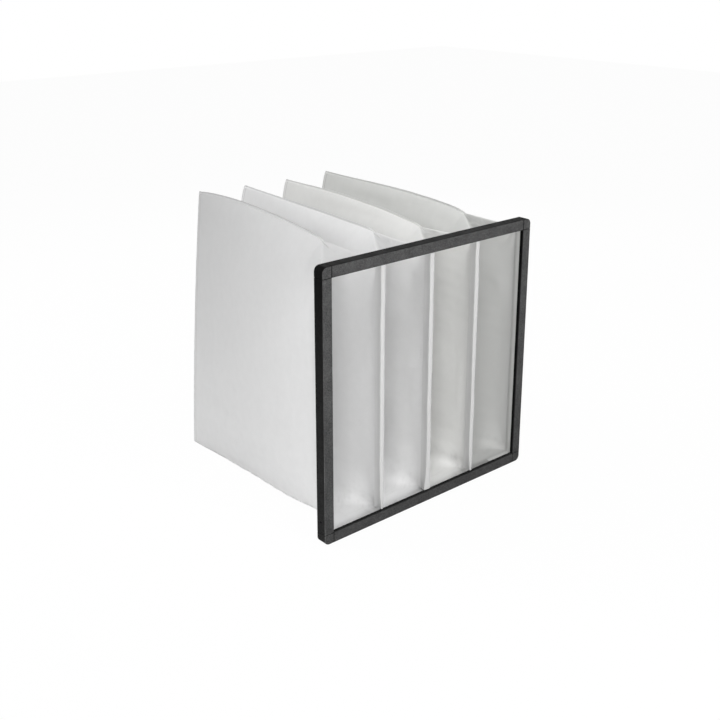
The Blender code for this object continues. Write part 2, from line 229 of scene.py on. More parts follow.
# Studio: each lamp's name, place, target, size in metres and power in watts
LAMPS = (
    ("key", (-1.7, -1.9, 0.55), (-0.1, 0.1, 0.2), 1.6, 16.5),
    ("top", (-0.3, 0.1, 2.6), (0, 0.3, 0.3), 2.0, 8),
    ("front", (0.2, -2.4, 2.0), (0, 0, 0.3), 1.6, 60),
    ("back", (-1.5, 1.8, 2.0), (0, 0.3, 0.5), 1.5, 46),
    ("low", (-1.3, -1.2, 0.15), (-0.1, 0.2, 0.1), 0.8, 8.5),
    ("right", (1.9, -1.5, 1.2), (0, 0.1, 0.3), 1.6, 6),
    ("rear", (1.7, 2.0, 1.3), (0, 0.3, 0.3), 1.6, 18),
)
WORLD_STRENGTH = 0.08
WORLD_COLOR = (0.97, 0.985, 1.0, 1)
WHITE = (1, 1, 1, 1)
FLOOR_REACH = 8
FLOOR_HEIGHT = -0.0005
FLOOR_COLOR = (0.9, 0.9, 0.9, 1)
FLOOR_WHITENESS = 0.975


# Mesh helpers
def new_object(name, points, faces, smooth=True):
    """A mesh object from its points and faces, linked into the scene."""
    mesh = bpy.data.meshes.new(name)
    mesh.from_pydata(points, [], faces)
    mesh.validate()
    if smooth:
        mesh.shade_smooth()
    obj = bpy.data.objects.new(name, mesh)
    bpy.context.scene.collection.objects.link(obj)
    return obj


def add_attribute(obj, name, values):
    """One number for each point of the mesh, for the materials to read."""
    attribute = obj.data.attributes.new(name, "FLOAT", "POINT")
    attribute.data.foreach_set("value", np.asarray(values, dtype=np.float32))


def smooth_step(x):
    """3 x squared less 2 x cubed, between 0 and 1."""
    x = np.clip(x, 0.0, 1.0)
    return x * x * (3 - 2 * x)


def soft_noise(a, b, seed, octaves=3):
    """Smooth waves in two directions, in the range of about -1 to 1.

    Each octave adds five sines that run at random angles. From one octave to the next, the
    waves are half as long and half as high.
    """
    rng = np.random.default_rng(seed)
    total = np.zeros_like(a)
    for octave in range(octaves):
        for _ in range(5):
            angle = rng.uniform(0, 2 * math.pi)
            pitch = 2 ** octave * rng.uniform(0.7, 1.3)
            phase = rng.uniform(0, 2 * math.pi)
            wave = np.sin(2 * math.pi * pitch * (a * math.cos(angle) + b * math.sin(angle)) + phase)
            total += wave / 2 ** octave
    return total / 4.5


# Pocket shape
def eased(share):
    """Share along the pocket with a soft start, so that no crease shows behind the mouth.

    The share less an exponential that dies out over MOUTH_EASE, scaled to end at 1.
    """
    return (share + MOUTH_EASE * (np.exp(-share / MOUTH_EASE) - 1)) / (1 - MOUTH_EASE)


def seam_rise(share, rises):
    """Height of the top seam over the mouth's upper edge.

    It climbs straight over the gusset to the first rise, then follows the one smooth curve
    through all the rises, which are evenly spaced from the gusset's end to the back.
    """
    last = len(rises) - 1
    along = last * (share - GUSSET_END) / (1 - GUSSET_END)
    curve = np.zeros_like(share)
    for i, rise in enumerate(rises):
        weight = np.prod([(along - j) / (i - j) for j in range(last + 1) if j != i], axis=0)
        curve += weight * rise
    return np.where(share < GUSSET_END, rises[0] * share / GUSSET_END, curve)


def wall_width(share, mouth_half):
    """Half the pocket's width: a straight taper from the mouth to the seam, bulged at the middle."""
    soft = eased(share)
    return mouth_half * (1 - soft) * (1 + SIDE_BULGE * soft) + SEAM_HALF_THICKNESS * soft


def seam_fin(share):
    """Half thickness and height of the welded fin that stands over the last wall point.

    It grows evenly from SEAM_START over SEAM_RUN to its full width, and thins to its free edge.
    """
    fin = SEAM_WIDTH * np.clip((share - SEAM_START) / SEAM_RUN, 0, 1)
    climb = np.linspace(0, 1, FIN_POINTS + 1)[None, 1:]
    return SEAM_HALF_THICKNESS * (1 - FIN_THINNING * climb) + 0 * fin, fin * climb


def half_section(share, mouth_half, rise):
    """From mid height up to the seam's free edge: x and height for each station and point.

    The wall is a superellipse between the fold's and the wall's half widths, whose power falls
    from the mouth on. The gusset panel then runs in to the seam, with a sag that is a quarter sine.
    """
    share = share[:, None]
    rise = rise[:, None]
    open_share = np.clip(1 - share / GUSSET_END, 0, None)
    fold = np.maximum(mouth_half * open_share, SEAM_HALF_THICKNESS)
    width = np.maximum(wall_width(share, mouth_half), fold)
    height = MOUTH_HEIGHT + rise
    up = WALL_UP[None, :]
    power = SHOULDER_POWER + SHOULDER_START * np.exp(-share / SHOULDER_FADE)
    spread = (1 - up ** power) ** (1 / SHOULDER_ROUNDNESS)
    wall_x = fold + (width - fold) * spread
    wall_z = height * up
    across = np.linspace(0, 1, PANEL_POINTS + 1)[None, 1:]
    panel_x = fold + (SEAM_HALF_THICKNESS - fold) * across
    sag = PANEL_SAG * np.sin(math.pi / 2 * across) * 4 * (share / GUSSET_END) * open_share
    panel_z = height - sag
    fin_x, fin_climb = seam_fin(share)
    fin_z = panel_z[:, -1:] + fin_climb
    return np.hstack([wall_x, panel_x, fin_x]), np.hstack([wall_z, panel_z, fin_z])


def floor_section(share, mouth_half, drop):
    """From mid height down to the lower seam's free edge: x and depth below mid height.

    A superellipse, square where it lies in the frame, whose power falls off to a soft round.
    """
    share = share[:, None]
    width = wall_width(share, mouth_half)
    turn = np.linspace(0, math.pi / 2, WALL_POINTS + PANEL_POINTS)[None, :]
    power = FLOOR_SOFT + (FLOOR_SQUARE - FLOOR_SOFT) * np.exp(-share / FLOOR_SOFTENING)
    tall = np.sin(turn) ** (2 / (power + SHOULDER_POWER))
    wide = np.clip(np.cos(turn), 0, 1) ** (2 / power)
    x = SEAM_HALF_THICKNESS + (width - SEAM_HALF_THICKNESS) * wide
    z = (MOUTH_HEIGHT + drop[:, None]) * tall
    fin_x, fin_climb = seam_fin(share)
    return np.hstack([x, fin_x]), np.hstack([z, z[:, -1:] + fin_climb])


def wrinkles(share, height, seed):
    """How far the fabric stands out from its even form, in metres.

    Broad noise and long folds, still at the mouth and the back. Creases fan out from the mouth's
    corners, as a sine of the angle that dies out with distance. Puckers stand across the back
    seam and along the top and bottom seams, as sines that die out away from the seam.
    """
    away = smooth_step(share / STILL_MOUTH) * smooth_step((1 - share) / STILL_BACK)
    broad = BROAD_SAG * soft_noise(share * 1.3, height * 0.9, seed)
    folds = LONG_FOLDS * soft_noise(share * 1.2, height * 4.5, seed + 1, 2)
    total = (broad + folds) * away
    for corner, strength in CORNER_CREASES:
        down = (corner - height) * corner * MOUTH_HEIGHT
        off = np.hypot(share * CREASE_DEPTH_SCALE, down)
        turn = np.arctan2(down, share * CREASE_DEPTH_SCALE + 1e-6)
        unrest = 1.5 * soft_noise(share * 3, height * 2, seed + 5)
        ripple = np.sin(CREASE_COUNT * turn + seed + corner + unrest)
        crease = strength * ripple * np.exp(-off / CREASE_REACH) * smooth_step(off / CREASE_START)
        total += crease * smooth_step(share / CREASE_START)
    unrest = 2.1 * soft_noise(share, height * 2, seed + 2)
    pucker = PUCKER * np.sin(FULL_TURN * height * BACK_PUCKER_COUNT + unrest)
    to_back = 1 - share
    total += pucker * np.exp(-to_back / BACK_PUCKER_REACH) * smooth_step(to_back / BACK_WELD)
    unrest = 2.5 * soft_noise(share * 2, height, seed + 3)
    pucker = PUCKER * np.sin(FULL_TURN * share * SEAM_PUCKER_COUNT + unrest)
    edge = 1 - np.abs(height)
    pucker *= np.exp(-edge / SEAM_PUCKER_REACH) * smooth_step(edge / SEAM_WELD)
    total += pucker * smooth_step((share - SEAM_PUCKER_START) / SEAM_PUCKER_RUN) * away
    return total


def floor_lift(x_from_middle, y, z, number):
    """Lift of the pocket's floor: a soft uneven swell behind the lip that dies out to the back.

    PUFF times a smooth climb and fall along the depth, dying out with the height over the floor.
    """
    over_floor = np.clip(z - MOUTH_FLOOR, 0, None)
    start = smooth_step((y - MOUTH_FRONT - PUFF_START) / PUFF_CLIMB)
    swell = start * (1 - smooth_step((y - MOUTH_REAR - PUFF_END) / PUFF_FADE))
    uneven = 1 + 0.4 * soft_noise(x_from_middle * 16, y * 9, 120 + number)
    return PUFF * swell * uneven * np.exp(-over_floor / (4 * PUFF))


def painted_foot_shade_and_speckle(off_right, y, z, number):
    """Painted shade at the foot of the opening, and a fine darker speckle.

    A patch in the right corner and a soft band along the foot of the wall, just over the floor.
    Both are bell curves of the distance, made uneven by noise, and a fine speckle is added.
    """
    over_floor = z - MOUTH_FLOOR
    # painted shade: a patch in the right corner and a band along the wall's foot; the speckle is a fine
    # darker mottle
    inward = np.exp(-(np.clip(y - MOUTH_FRONT, 0, None) / PATCH_DEPTH) ** 2)
    uneven = 1 + 0.5 * soft_noise(z * 25, y * 25, 140 + number)
    patch = np.exp(-(off_right / PATCH_WIDTH) ** 2 - (over_floor / PATCH_HEIGHT) ** 2) * inward
    band = np.exp(-((over_floor - BAND_HEIGHT) / BAND_THICKNESS) ** 2)
    band *= smooth_step(y / BAND_START) * (1 - smooth_step((y - BAND_END) / FOOT_FADE))
    speckle = np.clip(soft_noise(z * 70, y * 70 + off_right * 50, 160 + number, 2), 0, 1)
    low_down = np.exp(-np.clip(over_floor, 0, None) / SPECKLE_HEIGHT)
    speckle *= FOOT_SPECKLE * low_down * (1 - smooth_step((y - SPECKLE_END) / FOOT_FADE))
    return (FOOT_SHADE_PATCHES[number - 1] * patch + FOOT_SHADE_BANDS[number - 1] * band) * uneven + speckle


def gusset_marks(share, count, number):
    """Painted shade on the upper gusset, and a painted highlight along its fold line, for half a
    section.

    The painted shade grows from the fold inwards and dies out where the gusset ends. The painted
    highlight is a narrow profile over the last wall points. The lower half of the section has neither.
    """
    panel = np.linspace(0, 1, PANEL_POINTS + 1)[1:]
    across = np.concatenate([np.zeros(WALL_POINTS), panel, np.ones(FIN_POINTS)])
    ended = smooth_step((share - 0.6 * GUSSET_END) / (0.6 * GUSSET_END))
    # painted shade on the gusset, growing from the fold inwards
    shade = smooth_step(across / 0.3) * (1 - ended)
    below = np.zeros((share.shape[0], count))
    painted_shade = np.hstack([below, PAINTED_GUSSET_SHADES[number - 1] * shade])
    # painted highlight along the fold line
    edge = np.zeros(across.size)
    edge[WALL_POINTS - 3:WALL_POINTS + 1] = FOLD_HIGHLIGHT_PROFILE
    faded = smooth_step((share - 0.8 * GUSSET_END) / (0.4 * GUSSET_END))
    present = smooth_step(share / 0.03) * (1 - faded)
    fold = np.hstack([below, PAINTED_FOLD_HIGHLIGHTS[number - 1] * edge * present])
    return painted_shade, fold


def pocket_ring(number, middle, mouth_half, shares):
    """Points of the pocket between the mouth and the back seam: stations by points round it.

    Upper and lower half sections make one side, which is mirrored for the other. Each point lies
    at its station's share of the depth, and leans over towards the back. The depth goes from the
    bottom's to the top's by the height to the power BACK_BOW. Wrinkles move the walls sideways.
    """
    peak = BACK_PEAKS[number - 1] * np.exp(-(1 - shares) / BACK_PEAK_FADE)
    top_x, top_z = half_section(shares, mouth_half, seam_rise(shares, TOP_RISES[number - 1]) + peak)
    low_x, low_z = floor_section(shares, mouth_half, BOTTOM_DROP * smooth_step(shares / FLOOR_DROP_END))
    half_x = np.hstack([low_x[:, :0:-1], top_x])
    half_z = np.hstack([-low_z[:, :0:-1], top_z])
    low, high = half_z[:, :1], half_z[:, -1:]
    up = (half_z - low) / (high - low)
    depth = DEPTH_AT_BOTTOM + (DEPTH_AT_TOP - DEPTH_AT_BOTTOM) * up ** BACK_BOW
    reach = (1 - up ** BACK_REACH_POWER) * smooth_step((up - BACK_REACH_START) / BACK_REACH_RUN)
    depth += BACK_REACHES[number - 1] * reach
    share_grid = np.repeat(shares[:, None], half_x.shape[1], axis=1)
    y = MOUTH_REAR + share_grid * (FRONT + depth - MOUTH_REAR)
    lean_low, lean_high = LEANS_AT_BOTTOM[number - 1], LEANS_AT_TOP[number - 1]
    lean = (lean_low + (lean_high - lean_low) * up) * share_grid
    place = np.concatenate([WALL_UP, np.ones(PANEL_POINTS + FIN_POINTS)])
    place_low = np.clip(low_z / low_z[:, -FIN_POINTS - 1:-FIN_POINTS], 0, 1)
    heights = np.hstack([-place_low[:, :0:-1], np.tile(place, (STATIONS, 1))])
    wavy = WAVER * soft_noise(share_grid * 2.5, 0.4 * heights, 90 + number)
    wavy *= smooth_step((share_grid - WAVER_START) / WAVER_RUN)
    room = np.clip((half_x - SEAM_HALF_THICKNESS) / CREASE_ROOM, 0, 1)
    flat = heights >= 1
    sides = []
    for sign, side_seed in ((1, 3), (-1, 7)):
        seed = 10 * number + side_seed
        bulge = wrinkles(share_grid, heights, seed) * room
        x = middle + lean + wavy + sign * (half_x + bulge)
        ripple = soft_noise(share_grid * 6, sign * half_x * 12, seed + 9)
        lift = WAVER * ripple * flat * np.sign(heights) * smooth_step(share_grid / LIFT_RUN)
        z = MID_HEIGHT + half_z + lift * smooth_step((half_x - LIFT_INNER) / LIFT_WIDTH)
        sides.append(np.stack([x, y, z], axis=2))
    return np.concatenate([sides[0], sides[1][:, ::-1]], axis=1), top_x.shape[1] - 1


def seam_marks(shares, count_rows):
    """Where the welded seams lie: 0 on the walls, and 0.5 to 1 from the weld to the free edge."""
    wall = np.zeros(len(WALL_UP) + PANEL_POINTS - 1)
    fin = np.concatenate([wall, np.linspace(0.5, 1, FIN_POINTS + 1)])
    fins = np.concatenate([fin[:0:-1], fin])
    seam = np.repeat(np.concatenate([fins, fins[::-1]])[None, :], count_rows, axis=0)
    back_seam = np.linspace(0.5, 1, BACK_ROWS + 1)[:, None]
    seam[-BACK_ROWS - 1:] = np.maximum(seam[-BACK_ROWS - 1:], back_seam)
    growth = np.clip((shares - SEAM_START) / SEAM_RUN, 0, 1)
    grown = np.concatenate([np.zeros(MOUTH_ROWS), growth, np.ones(BACK_ROWS)])
    return seam * grown[:, None]


def make_pocket(number, span):
    """One pocket as a single sheet of fabric: both walls, gussets and welded seams.

    Rows go from the mouth in the frame, straight back, to the ring of the pocket itself and on
    to the back seam's free edge, which is closed. Faces point outwards.
    """
    middle = (span[0] + span[1]) / 2
    mouth_half = (span[1] - span[0]) / 2
    shares = np.linspace(0, 1, STATIONS) ** STATION_CROWDING
    ring, count_below = pocket_ring(number, middle, mouth_half, shares)
    mouth = np.repeat(ring[:1], MOUTH_ROWS, axis=0)
    mouth[:, :, 1] = np.linspace(MOUTH_FRONT, MOUTH_REAR, MOUTH_ROWS + 1)[:-1, None]
    back = np.repeat(ring[-1:], BACK_ROWS, axis=0)
    back[:, :, 1] += np.linspace(0, SEAM_WIDTH, BACK_ROWS + 1)[1:, None]
    rows = np.concatenate([mouth, ring, back], axis=0)
    count_rows, count = rows.shape[:2]
    lean_low = LEANS_AT_BOTTOM[number - 1]
    lean_row = np.concatenate([np.zeros(MOUTH_ROWS), lean_low * shares, np.full(BACK_ROWS, lean_low)])
    off_middle = rows[:, :, 0] - middle - lean_row[:, None]
    # painted shade at the foot of the opening, with a fine speckle
    shade = painted_foot_shade_and_speckle(mouth_half - off_middle, rows[:, :, 1], rows[:, :, 2], number)
    # painted light on the hem at the right of the opening, fading to the back
    painted_hem_light = 1 - smooth_step((rows[:, :, 1] - 0.4 * REAR) / (0.6 * REAR))
    painted_hem_light = PAINTED_HEM_LIGHTS[number - 1] * painted_hem_light * (off_middle > 0)
    rows[:, :, 2] += floor_lift(off_middle, rows[:, :, 1], rows[:, :, 2], number)
    index = np.arange(count_rows * count).reshape(count_rows, count)
    turned = np.roll(index, -1, axis=1)
    faces = np.stack([index[:-1], index[1:], turned[1:], turned[:-1]], axis=2).reshape(-1, 4).tolist()
    last = index[-1].tolist()
    for i in range(count // 2 - 1):
        faces.append([last[count - 1 - i], last[count - 2 - i], last[i + 1], last[i]])
    pocket = new_object(f"pocket_fabric_{number}", rows.reshape(-1, 3).tolist(), faces)
    add_attribute(pocket, "seam", seam_marks(shares, count_rows).ravel())
    painted_shade, fold = gusset_marks(shares[:, None], count_below, number)
    # The first attribute carries painted shade; the fold attribute carries painted light, the fold
    # line's highlight and the hem's light.
    for name, marks, more in (("painted_shade", painted_shade, shade), ("fold", fold, painted_hem_light)):
        both = np.concatenate([marks, marks[:, ::-1]], axis=1)
        padded = np.concatenate([both[:1].repeat(MOUTH_ROWS, 0), both, both[-1:].repeat(BACK_ROWS, 0)])
        add_attribute(pocket, name, np.maximum(padded, more).ravel())
    return pocket


def pocket_spans():
    """Left and right of each pocket's mouth, between bars that part the opening evenly."""
    opening = FRAME_SIZE - 2 * FACE_WIDTH
    bars = [-opening / 2 + opening / POCKETS * k for k in range(1, POCKETS)]
    outer = FRAME_SIZE / 2 - FABRIC_EDGE
    gap = BAR_HALF + CLEARANCE
    lefts = [-outer] + [x + gap for x in bars]
    rights = [x - gap for x in bars] + [outer]
    return list(zip(lefts, rights)), bars


# Sleeve shape
def sleeve_leg(grid, side, x, half):
    """One leg of the sleeve, straight back beside the bar, closing in by the square of its run."""
    edge_column = grid[:, :1] if side == 0 else grid[:, -1:]
    leg = []
    for share in np.linspace(1, 0, SLEEVE_LEG_POINTS, endpoint=False):
        edge = edge_column.copy()
        edge[:, :, 1] = MOUTH_FRONT + (REAR - MOUTH_FRONT) * share
        closed = x + (1 if side else -1) * (half - SLEEVE_FABRIC)
        edge[:, :, 0] += (closed - edge[:, :, 0]) * share ** 2
        leg.append(edge)
    return leg if side == 0 else leg[::-1]


def make_sleeve(number, x):
    """The bright fabric edge over a bar, soft and a little uneven.

    The nose is half a superellipse, from the left side of the bar round to the right. Its width
    is pinched by noise and changes at the foot, and noise sways it sideways along its height.
    """
    low = FACE_WIDTH + CLEARANCE
    height = FRAME_SIZE - 2 * low
    half = BAR_HALF + 2 * CLEARANCE + FABRIC + SLEEVE_FABRIC
    rows = np.linspace(0, 1, SLEEVE_ROWS)[:, None]
    around = np.linspace(-1, 1, SLEEVE_POINTS)[None, :]
    wave = soft_noise(rows * 2.2, rows * 0 + number, 40 + number, 3)
    pinch = soft_noise(rows * 3.1, rows * 0, 60 + number, 3)
    foot = SLEEVE_FEET[number - 1] * np.exp(-(rows / SLEEVE_FOOT_HEIGHT) ** SLEEVE_FOOT_POWER)
    half_here = half * (1 + SLEEVE_PINCH * pinch + foot)
    turn = around * math.pi / 2
    spread = np.sign(around) * np.abs(np.sin(turn)) ** SLEEVE_ROUNDNESS
    x_grid = x + half_here * spread + SLEEVE_SWAY * wave
    nose = SLEEVE_NOSE * np.cos(turn) ** SLEEVE_ROUNDNESS
    y_grid = MOUTH_FRONT - CLEARANCE - nose * (1 + SLEEVE_NOSE_PINCH * pinch)
    z_grid = low + height * rows + 0 * around
    grid = np.stack([x_grid, y_grid, z_grid], axis=2)
    left_leg, right_leg = sleeve_leg(grid, 0, x, half), sleeve_leg(grid, -1, x, half)
    grid = np.concatenate(left_leg + [grid] + right_leg, axis=1)
    count = grid.shape[1]
    index = np.arange(SLEEVE_ROWS * count).reshape(SLEEVE_ROWS, count)
    faces = np.stack([index[:-1, :-1], index[:-1, 1:], index[1:, 1:], index[1:, :-1]], axis=2)
    faces = faces.reshape(-1, 4).tolist()
    sleeve = new_object(f"sleeve_fabric_{number}", grid.reshape(-1, 3).tolist(), faces)
    # painted light on the legs, carried by the fold attribute, full at the back and less next to the
    # nose
    painted_leg_light = np.linspace(1, SLEEVE_LEG_SHADE, SLEEVE_LEG_POINTS)
    across = np.concatenate([painted_leg_light, np.zeros(SLEEVE_POINTS), painted_leg_light[::-1]])
    add_attribute(sleeve, "fold", np.tile(across, SLEEVE_ROWS))
    on_left = np.concatenate([np.ones(SLEEVE_LEG_POINTS), np.zeros(count - SLEEVE_LEG_POINTS)])
    # painted shade at the foot of the left leg, beside the opening's corner
    painted_leg_foot_shade = FOOT_SHADE_PATCHES[number - 1] * np.exp(-(height * rows / PATCH_HEIGHT) ** 2)
    add_attribute(sleeve, "painted_shade", (painted_leg_foot_shade * on_left).ravel())
    add_attribute(sleeve, "seam", np.zeros(SLEEVE_ROWS * count))
    return sleeve


# Node helpers
def link(tree, source, target):
    """Join an output to an input."""
    tree.links.new(source, target)


def add_node(tree, kind, **settings):
    """A new node with the given settings."""
    node = tree.nodes.new(kind)
    for key, value in settings.items():
        setattr(node, key, value)
    return node


def math_node(tree, operation, first, second=None):
    """One sum of one or two values, each a number or an output."""
    node = add_node(tree, "ShaderNodeMath", operation=operation)
    for socket, value in zip(node.inputs, (first, second)):
        if value is None:
            continue
        if isinstance(value, (int, float)):
            socket.default_value = value
        else:
            link(tree, value, socket)
    return node.outputs[0]


def noise_node(tree, vector, scale, detail=4.0, roughness=0.55, distortion=0.0):
    """Noise over a place, with scale waves to a metre."""
    node = add_node(tree, "ShaderNodeTexNoise")
    node.inputs["Scale"].default_value = scale
    node.inputs["Detail"].default_value = detail
    node.inputs["Roughness"].default_value = roughness
    node.inputs["Distortion"].default_value = distortion
    link(tree, vector, node.inputs["Vector"])
    return node.outputs["Fac"]


def mapped(tree, vector, scale, tilt):
    """A place squeezed along each axis, and tilted about X by an angle in radians."""
    node = add_node(tree, "ShaderNodeMapping")
    node.inputs["Scale"].default_value = scale
    node.inputs["Rotation"].default_value = (tilt, 0.0, 0.0)
    link(tree, vector, node.inputs["Vector"])
    return node.outputs["Vector"]


def mix_color(tree, factor, first, second, blend="MIX"):
    """The first colour, going over to the second as the factor goes from 0 to 1."""
    node = add_node(tree, "ShaderNodeMix", data_type="RGBA", blend_type=blend)
    pairs = ((node.inputs[0], factor), (node.inputs[6], first), (node.inputs[7], second))
    for socket, value in pairs:
        if isinstance(value, (int, float, tuple)):
            socket.default_value = value
        else:
            link(tree, value, socket)
    return node.outputs[2]


def gray(value, tint=(1.0, 1.0, 1.0)):
    """A gray of the given tone, times a tint."""
    return (value * tint[0], value * tint[1], value * tint[2], 1.0)


def start_material(name):
    """A new material with its node tree and its main shader."""
    material = bpy.data.materials.new(name)
    material.use_nodes = True
    tree = material.node_tree
    shader = tree.nodes["Principled BSDF"]
    return material, tree, shader


def ramp_node(tree, value, low, high, to_low=0.0, to_high=1.0):
    """A straight ramp: low becomes to_low and high becomes to_high, and it stops at both."""
    node = add_node(tree, "ShaderNodeMapRange")
    node.inputs["From Min"].default_value = low
    node.inputs["From Max"].default_value = high
    node.inputs["To Min"].default_value = to_low
    node.inputs["To Max"].default_value = to_high
    link(tree, value, node.inputs["Value"])
    return node.outputs[0]


def bump_node(tree, height, strength, distance):
    """A normal tilted by the slope of a height."""
    node = add_node(tree, "ShaderNodeBump")
    node.inputs["Strength"].default_value = strength
    node.inputs["Distance"].default_value = distance
    link(tree, height, node.inputs["Height"])
    return node.outputs["Normal"]


def mix_shader(tree, share, first, second):
    """The first shader, going over to the second by a share that is a number or an output."""
    node = add_node(tree, "ShaderNodeMixShader")
    if isinstance(share, (int, float)):
        node.inputs["Fac"].default_value = share
    else:
        link(tree, share, node.inputs["Fac"])
    link(tree, first, node.inputs[1])
    link(tree, second, node.inputs[2])
    return node.outputs["Shader"]


def start_group(name, inputs, outputs):
    """A shader node group with named sockets; a vector input has no starting value."""
    group = bpy.data.node_groups.new(name, "ShaderNodeTree")
    kinds = {"color": "NodeSocketColor", "value": "NodeSocketFloat", "vector": "NodeSocketVector"}
    for label, kind in inputs:
        group.interface.new_socket(name=label, in_out="INPUT", socket_type=kinds[kind])
    for label, kind in outputs:
        group.interface.new_socket(name=label, in_out="OUTPUT", socket_type=kinds[kind])
    enter = group.nodes.new("NodeGroupInput")
    leave = group.nodes.new("NodeGroupOutput")
    return group, enter.outputs, leave.inputs


def place_group(tree, group, values):
    """A group placed in a material with its own values; gives its outputs."""
    node = add_node(tree, "ShaderNodeGroup", node_tree=group)
    for label, value in values.items():
        node.inputs[label].default_value = value
    return node.outputs


def attribute_value(tree, name):
    """The number that the mesh holds under a name."""
    return add_node(tree, "ShaderNodeAttribute", attribute_name=name).outputs["Fac"]


# Finishes
def fabric_group():
    """Needled nonwoven: cloudy patches, upright streaks, welded seams, painted shade, painted light and
    fibres.

    The base goes from the front's colour to the back's by depth, and to the foot's by height, as
    painted light and shade. Noise clouds and streaks, the weld beside the seam, its free edge and the
    painted shade of gussets and feet mix in the dark colour, and painted light on fold lines, hem and
    sleeve legs mixes in the light colour. Fine noise makes the fibres' bump.
    """
    inputs = (
        ("Front Color", "color"), ("Back Color", "color"), ("Foot Color", "color"),
        ("Dark Color", "color"), ("Painted Light Color", "color"),
        ("Foot Share", "value"), ("Cloudiness", "value"), ("Streakiness", "value"),
    )
    tree, enter, leave = start_group("nonwoven", inputs, (("Color", "color"), ("Normal", "vector")))
    dark = enter["Dark Color"]
    place = add_node(tree, "ShaderNodeTexCoord").outputs["Object"]
    clouds = noise_node(tree, place, 55.0, 3.0, 0.5)
    fibres = noise_node(tree, mapped(tree, place, (1.0, 0.35, 1.0), 0.35), 900.0, 3.0, 0.6, 0.6)
    cross = noise_node(tree, place, 1500.0, 2.0, 0.5)
    streaks = noise_node(tree, mapped(tree, place, (1.0, 0.6, 0.12), 0.12), 45.0, 4.0, 0.6, 0.8)
    split = add_node(tree, "ShaderNodeSeparateXYZ")
    link(tree, place, split.inputs["Vector"])
    # painted light and shade: the colour changes from front to back
    deep = ramp_node(tree, split.outputs["Y"], 0.05, DEPTH_AT_TOP)
    color = mix_color(tree, deep, enter["Front Color"], enter["Back Color"])
    # painted light: lighter towards the foot
    above = ramp_node(tree, split.outputs["Z"], 0.0, FRAME_SIZE, 1.0, 0.0)
    foot = math_node(tree, "MULTIPLY", above, enter["Foot Share"])
    color = mix_color(tree, foot, color, enter["Foot Color"])
    coarse = math_node(tree, "MULTIPLY", clouds, 0.6)
    fine = math_node(tree, "MULTIPLY", fibres, 0.4)
    mottle = ramp_node(tree, math_node(tree, "ADD", coarse, fine), 0.35, 0.65, 1.0, 0.0)
    color = mix_color(tree, math_node(tree, "MULTIPLY", mottle, enter["Cloudiness"]), color, dark)
    streaked = ramp_node(tree, streaks, 0.35, 0.65, 1.0, 0.0)
    color = mix_color(tree, math_node(tree, "MULTIPLY", streaked, enter["Streakiness"]), color, dark)
    # the line beside the weld is partly the weld's own mark and partly painted shade where the ridges
    # meet; the darker free edge is painted shade
    seam = attribute_value(tree, "seam")
    off_weld = math_node(tree, "ABSOLUTE", math_node(tree, "SUBTRACT", seam, 0.16))
    weld = ramp_node(tree, off_weld, 0.06, 0.18, 0.40, 0.0)
    painted_edge_shade = ramp_node(tree, seam, 0.68, 0.92, 0.0, 0.46)
    color = mix_color(tree, math_node(tree, "MAXIMUM", weld, painted_edge_shade), color, dark)
    # painted shade from the gussets, the foot of each opening and the sleeves' feet, made ragged by the
    # streaks
    ragged = ramp_node(tree, streaks, 0.3, 0.7, 0.45, 1.45)
    shade = math_node(tree, "MULTIPLY", attribute_value(tree, "painted_shade"), ragged)
    color = mix_color(tree, shade, color, dark)
    # painted light from the fold attribute
    bright = math_node(tree, "MULTIPLY", attribute_value(tree, "fold"), 0.6)
    color = mix_color(tree, bright, color, enter["Painted Light Color"])
    link(tree, color, leave["Color"])
    long = math_node(tree, "MULTIPLY", fibres, 0.7)
    short = math_node(tree, "MULTIPLY", cross, 0.3)
    normal = bump_node(tree, math_node(tree, "ADD", long, short), 0.35, 0.0006)
    link(tree, normal, leave["Normal"])
    return tree


def fabric_material(name, group, cloth, through, insides):
    """Nonwoven cloth whose tones hold painted light and shade: painted shade on the inner face, and
    light that shines through.

    The inner face is mixed with the dark colour as painted shade, by a ramp from mid height to the
    opening's top, except where the fold attribute lays on painted light. A share of the light passes
    through as a translucent glow.
    """
    tone, back_tone, foot_share, tint = cloth
    inside, inside_top = insides
    dark = gray(tone * DARK_SHARE, tint)
    material, tree, shader = start_material(name)
    looks = place_group(tree, group, {
        "Front Color": gray(tone, tint),
        "Back Color": gray(back_tone, tint),
        "Foot Color": gray(FOOT_TONE, tint),
        "Dark Color": dark,
        "Painted Light Color": gray(PAINTED_LIGHT_TONE, tint),
        "Foot Share": foot_share,
        "Cloudiness": CLOUDINESS,
        "Streakiness": STREAKINESS,
    })
    upward = add_node(tree, "ShaderNodeSeparateXYZ")
    link(tree, add_node(tree, "ShaderNodeTexCoord").outputs["Object"], upward.inputs["Vector"])
    opening_top = FRAME_SIZE - FACE_WIDTH
    # painted shade on the inner face, more towards the opening's top
    inside_shade_ramp = ramp_node(tree, upward.outputs["Z"], MID_HEIGHT, opening_top, inside, inside_top)
    inner = add_node(tree, "ShaderNodeNewGeometry").outputs["Backfacing"]
    unfolded = math_node(tree, "SUBTRACT", 1.0, attribute_value(tree, "fold"))
    inside_shade_share = math_node(tree, "MULTIPLY", math_node(tree, "MULTIPLY", inner, inside_shade_ramp), unfolded)
    link(tree, mix_color(tree, inside_shade_share, looks["Color"], dark), shader.inputs["Base Color"])
    link(tree, looks["Normal"], shader.inputs["Normal"])
    shader.inputs["Roughness"].default_value = CLOTH_ROUGHNESS
    shader.inputs["Specular IOR Level"].default_value = 0.0
    glow = add_node(tree, "ShaderNodeBsdfTranslucent")
    glow.inputs["Color"].default_value = gray((tone + back_tone) / 2 * GLOW_SHARE, tint)
    cloth_shader = mix_shader(tree, through, shader.outputs["BSDF"], glow.outputs["BSDF"])
    link(tree, cloth_shader, tree.nodes["Material Output"].inputs["Surface"])
    return material


